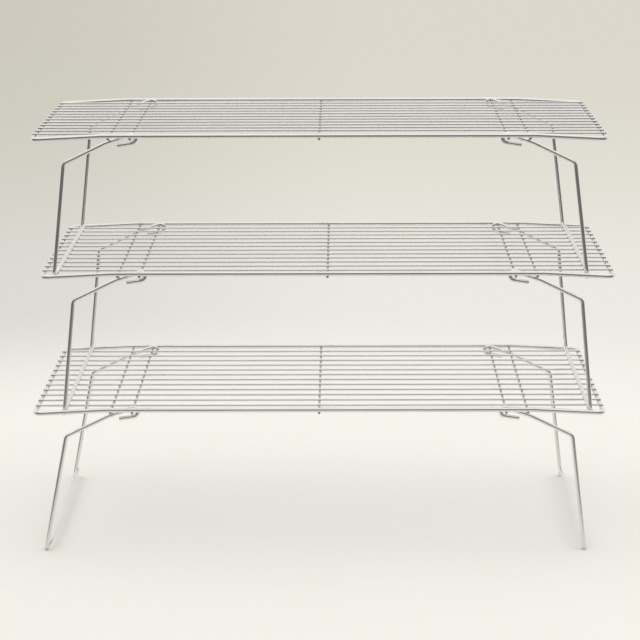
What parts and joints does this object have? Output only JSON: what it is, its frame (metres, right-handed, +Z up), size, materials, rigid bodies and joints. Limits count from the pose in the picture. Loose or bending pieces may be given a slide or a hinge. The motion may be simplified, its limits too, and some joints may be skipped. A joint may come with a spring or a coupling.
{
  "type": "cooling rack",
  "caption": "Stacking wire cooling rack: welded wire grids one above another, each standing on two bent-wire legs that fold in under it.",
  "frame": {"origin": "under the middle of the stack, on the surface that the bottom feet stand on", "axes": "+X along the rack's longest side, +Y from front to back, +Z up"},
  "size_m": [0.348, 0.2476, 0.2528],
  "materials": {
    "rail_chrome": "polished",
    "wire_chrome": "polished",
    "leg_chrome": "polished"
  },
  "bodies": {
    "bottom_grid": {"bottom_frame_rail": "rail_chrome", "bottom_long_wire_01": "wire_chrome", "bottom_long_wire_02": "wire_chrome", "bottom_long_wire_03": "wire_chrome", "bottom_long_wire_04": "wire_chrome", "bottom_long_wire_05": "wire_chrome", "bottom_long_wire_06": "wire_chrome", "bottom_long_wire_07": "wire_chrome", "bottom_long_wire_08": "wire_chrome", "bottom_long_wire_09": "wire_chrome", "bottom_long_wire_10": "wire_chrome", "bottom_long_wire_11": "wire_chrome", "bottom_long_wire_12": "wire_chrome", "bottom_cross_wire_left_stop": "wire_chrome", "bottom_cross_wire_left_hinge": "wire_chrome", "bottom_cross_wire_centre": "wire_chrome", "bottom_cross_wire_right_hinge": "wire_chrome", "bottom_cross_wire_right_stop": "wire_chrome"},
    "bottom_left_leg": {"bottom_left_leg": "leg_chrome"},
    "bottom_right_leg": {"bottom_right_leg": "leg_chrome"},
    "middle_grid": {"middle_frame_rail": "rail_chrome", "middle_long_wire_01": "wire_chrome", "middle_long_wire_02": "wire_chrome", "middle_long_wire_03": "wire_chrome", "middle_long_wire_04": "wire_chrome", "middle_long_wire_05": "wire_chrome", "middle_long_wire_06": "wire_chrome", "middle_long_wire_07": "wire_chrome", "middle_long_wire_08": "wire_chrome", "middle_long_wire_09": "wire_chrome", "middle_long_wire_10": "wire_chrome", "middle_long_wire_11": "wire_chrome", "middle_long_wire_12": "wire_chrome", "middle_cross_wire_left_stop": "wire_chrome", "middle_cross_wire_left_hinge": "wire_chrome", "middle_cross_wire_centre": "wire_chrome", "middle_cross_wire_right_hinge": "wire_chrome", "middle_cross_wire_right_stop": "wire_chrome"},
    "middle_left_leg": {"middle_left_leg": "leg_chrome"},
    "middle_right_leg": {"middle_right_leg": "leg_chrome"},
    "top_grid": {"top_frame_rail": "rail_chrome", "top_long_wire_01": "wire_chrome", "top_long_wire_02": "wire_chrome", "top_long_wire_03": "wire_chrome", "top_long_wire_04": "wire_chrome", "top_long_wire_05": "wire_chrome", "top_long_wire_06": "wire_chrome", "top_long_wire_07": "wire_chrome", "top_long_wire_08": "wire_chrome", "top_long_wire_09": "wire_chrome", "top_long_wire_10": "wire_chrome", "top_long_wire_11": "wire_chrome", "top_long_wire_12": "wire_chrome", "top_cross_wire_left_stop": "wire_chrome", "top_cross_wire_left_hinge": "wire_chrome", "top_cross_wire_centre": "wire_chrome", "top_cross_wire_right_hinge": "wire_chrome", "top_cross_wire_right_stop": "wire_chrome"},
    "top_left_leg": {"top_left_leg": "leg_chrome"},
    "top_right_leg": {"top_right_leg": "leg_chrome"}
  },
  "joints": [
    {"name": "bottom_left_leg_fold", "type": "hinge", "parent": "bottom_grid", "child": "bottom_left_leg", "pos_m": [-0.1146, 0, 0.0849], "axis": [0, -1, 0], "range_deg": [0, 121.6]},
    {"name": "bottom_right_leg_fold", "type": "hinge", "parent": "bottom_grid", "child": "bottom_right_leg", "pos_m": [0.1094, 0, 0.0849], "axis": [0, 1, 0], "range_deg": [0, 120.2]},
    {"name": "middle_tier_lift", "type": "slide", "parent": "bottom_grid", "child": "middle_grid", "axis": [0, 0, 1], "range_m": [0, 0.12]},
    {"name": "middle_left_leg_fold", "type": "hinge", "parent": "middle_grid", "child": "middle_left_leg", "pos_m": [-0.1094, 0, 0.1671], "axis": [0, -1, 0], "range_deg": [0, 118.9]},
    {"name": "middle_right_leg_fold", "type": "hinge", "parent": "middle_grid", "child": "middle_right_leg", "pos_m": [0.1146, 0, 0.1671], "axis": [0, 1, 0], "range_deg": [0, 118.5]},
    {"name": "top_tier_lift", "type": "slide", "parent": "middle_grid", "child": "top_grid", "axis": [0, 0, 1], "range_m": [0, 0.12]},
    {"name": "top_left_leg_fold", "type": "hinge", "parent": "top_grid", "child": "top_left_leg", "pos_m": [-0.1142, 0, 0.2493], "axis": [0, -1, 0], "range_deg": [0, 118.5]},
    {"name": "top_right_leg_fold", "type": "hinge", "parent": "top_grid", "child": "top_right_leg", "pos_m": [0.1098, 0, 0.2493], "axis": [0, 1, 0], "range_deg": [0, 120.3]}
  ],
  "couplings": [
    {"joint": "middle_left_leg_fold", "follows": "middle_tier_lift", "rad_per_m": 17.293},
    {"joint": "middle_right_leg_fold", "follows": "middle_tier_lift", "rad_per_m": 17.235},
    {"joint": "top_left_leg_fold", "follows": "top_tier_lift", "rad_per_m": 17.235},
    {"joint": "top_right_leg_fold", "follows": "top_tier_lift", "rad_per_m": 17.497}
  ]
}
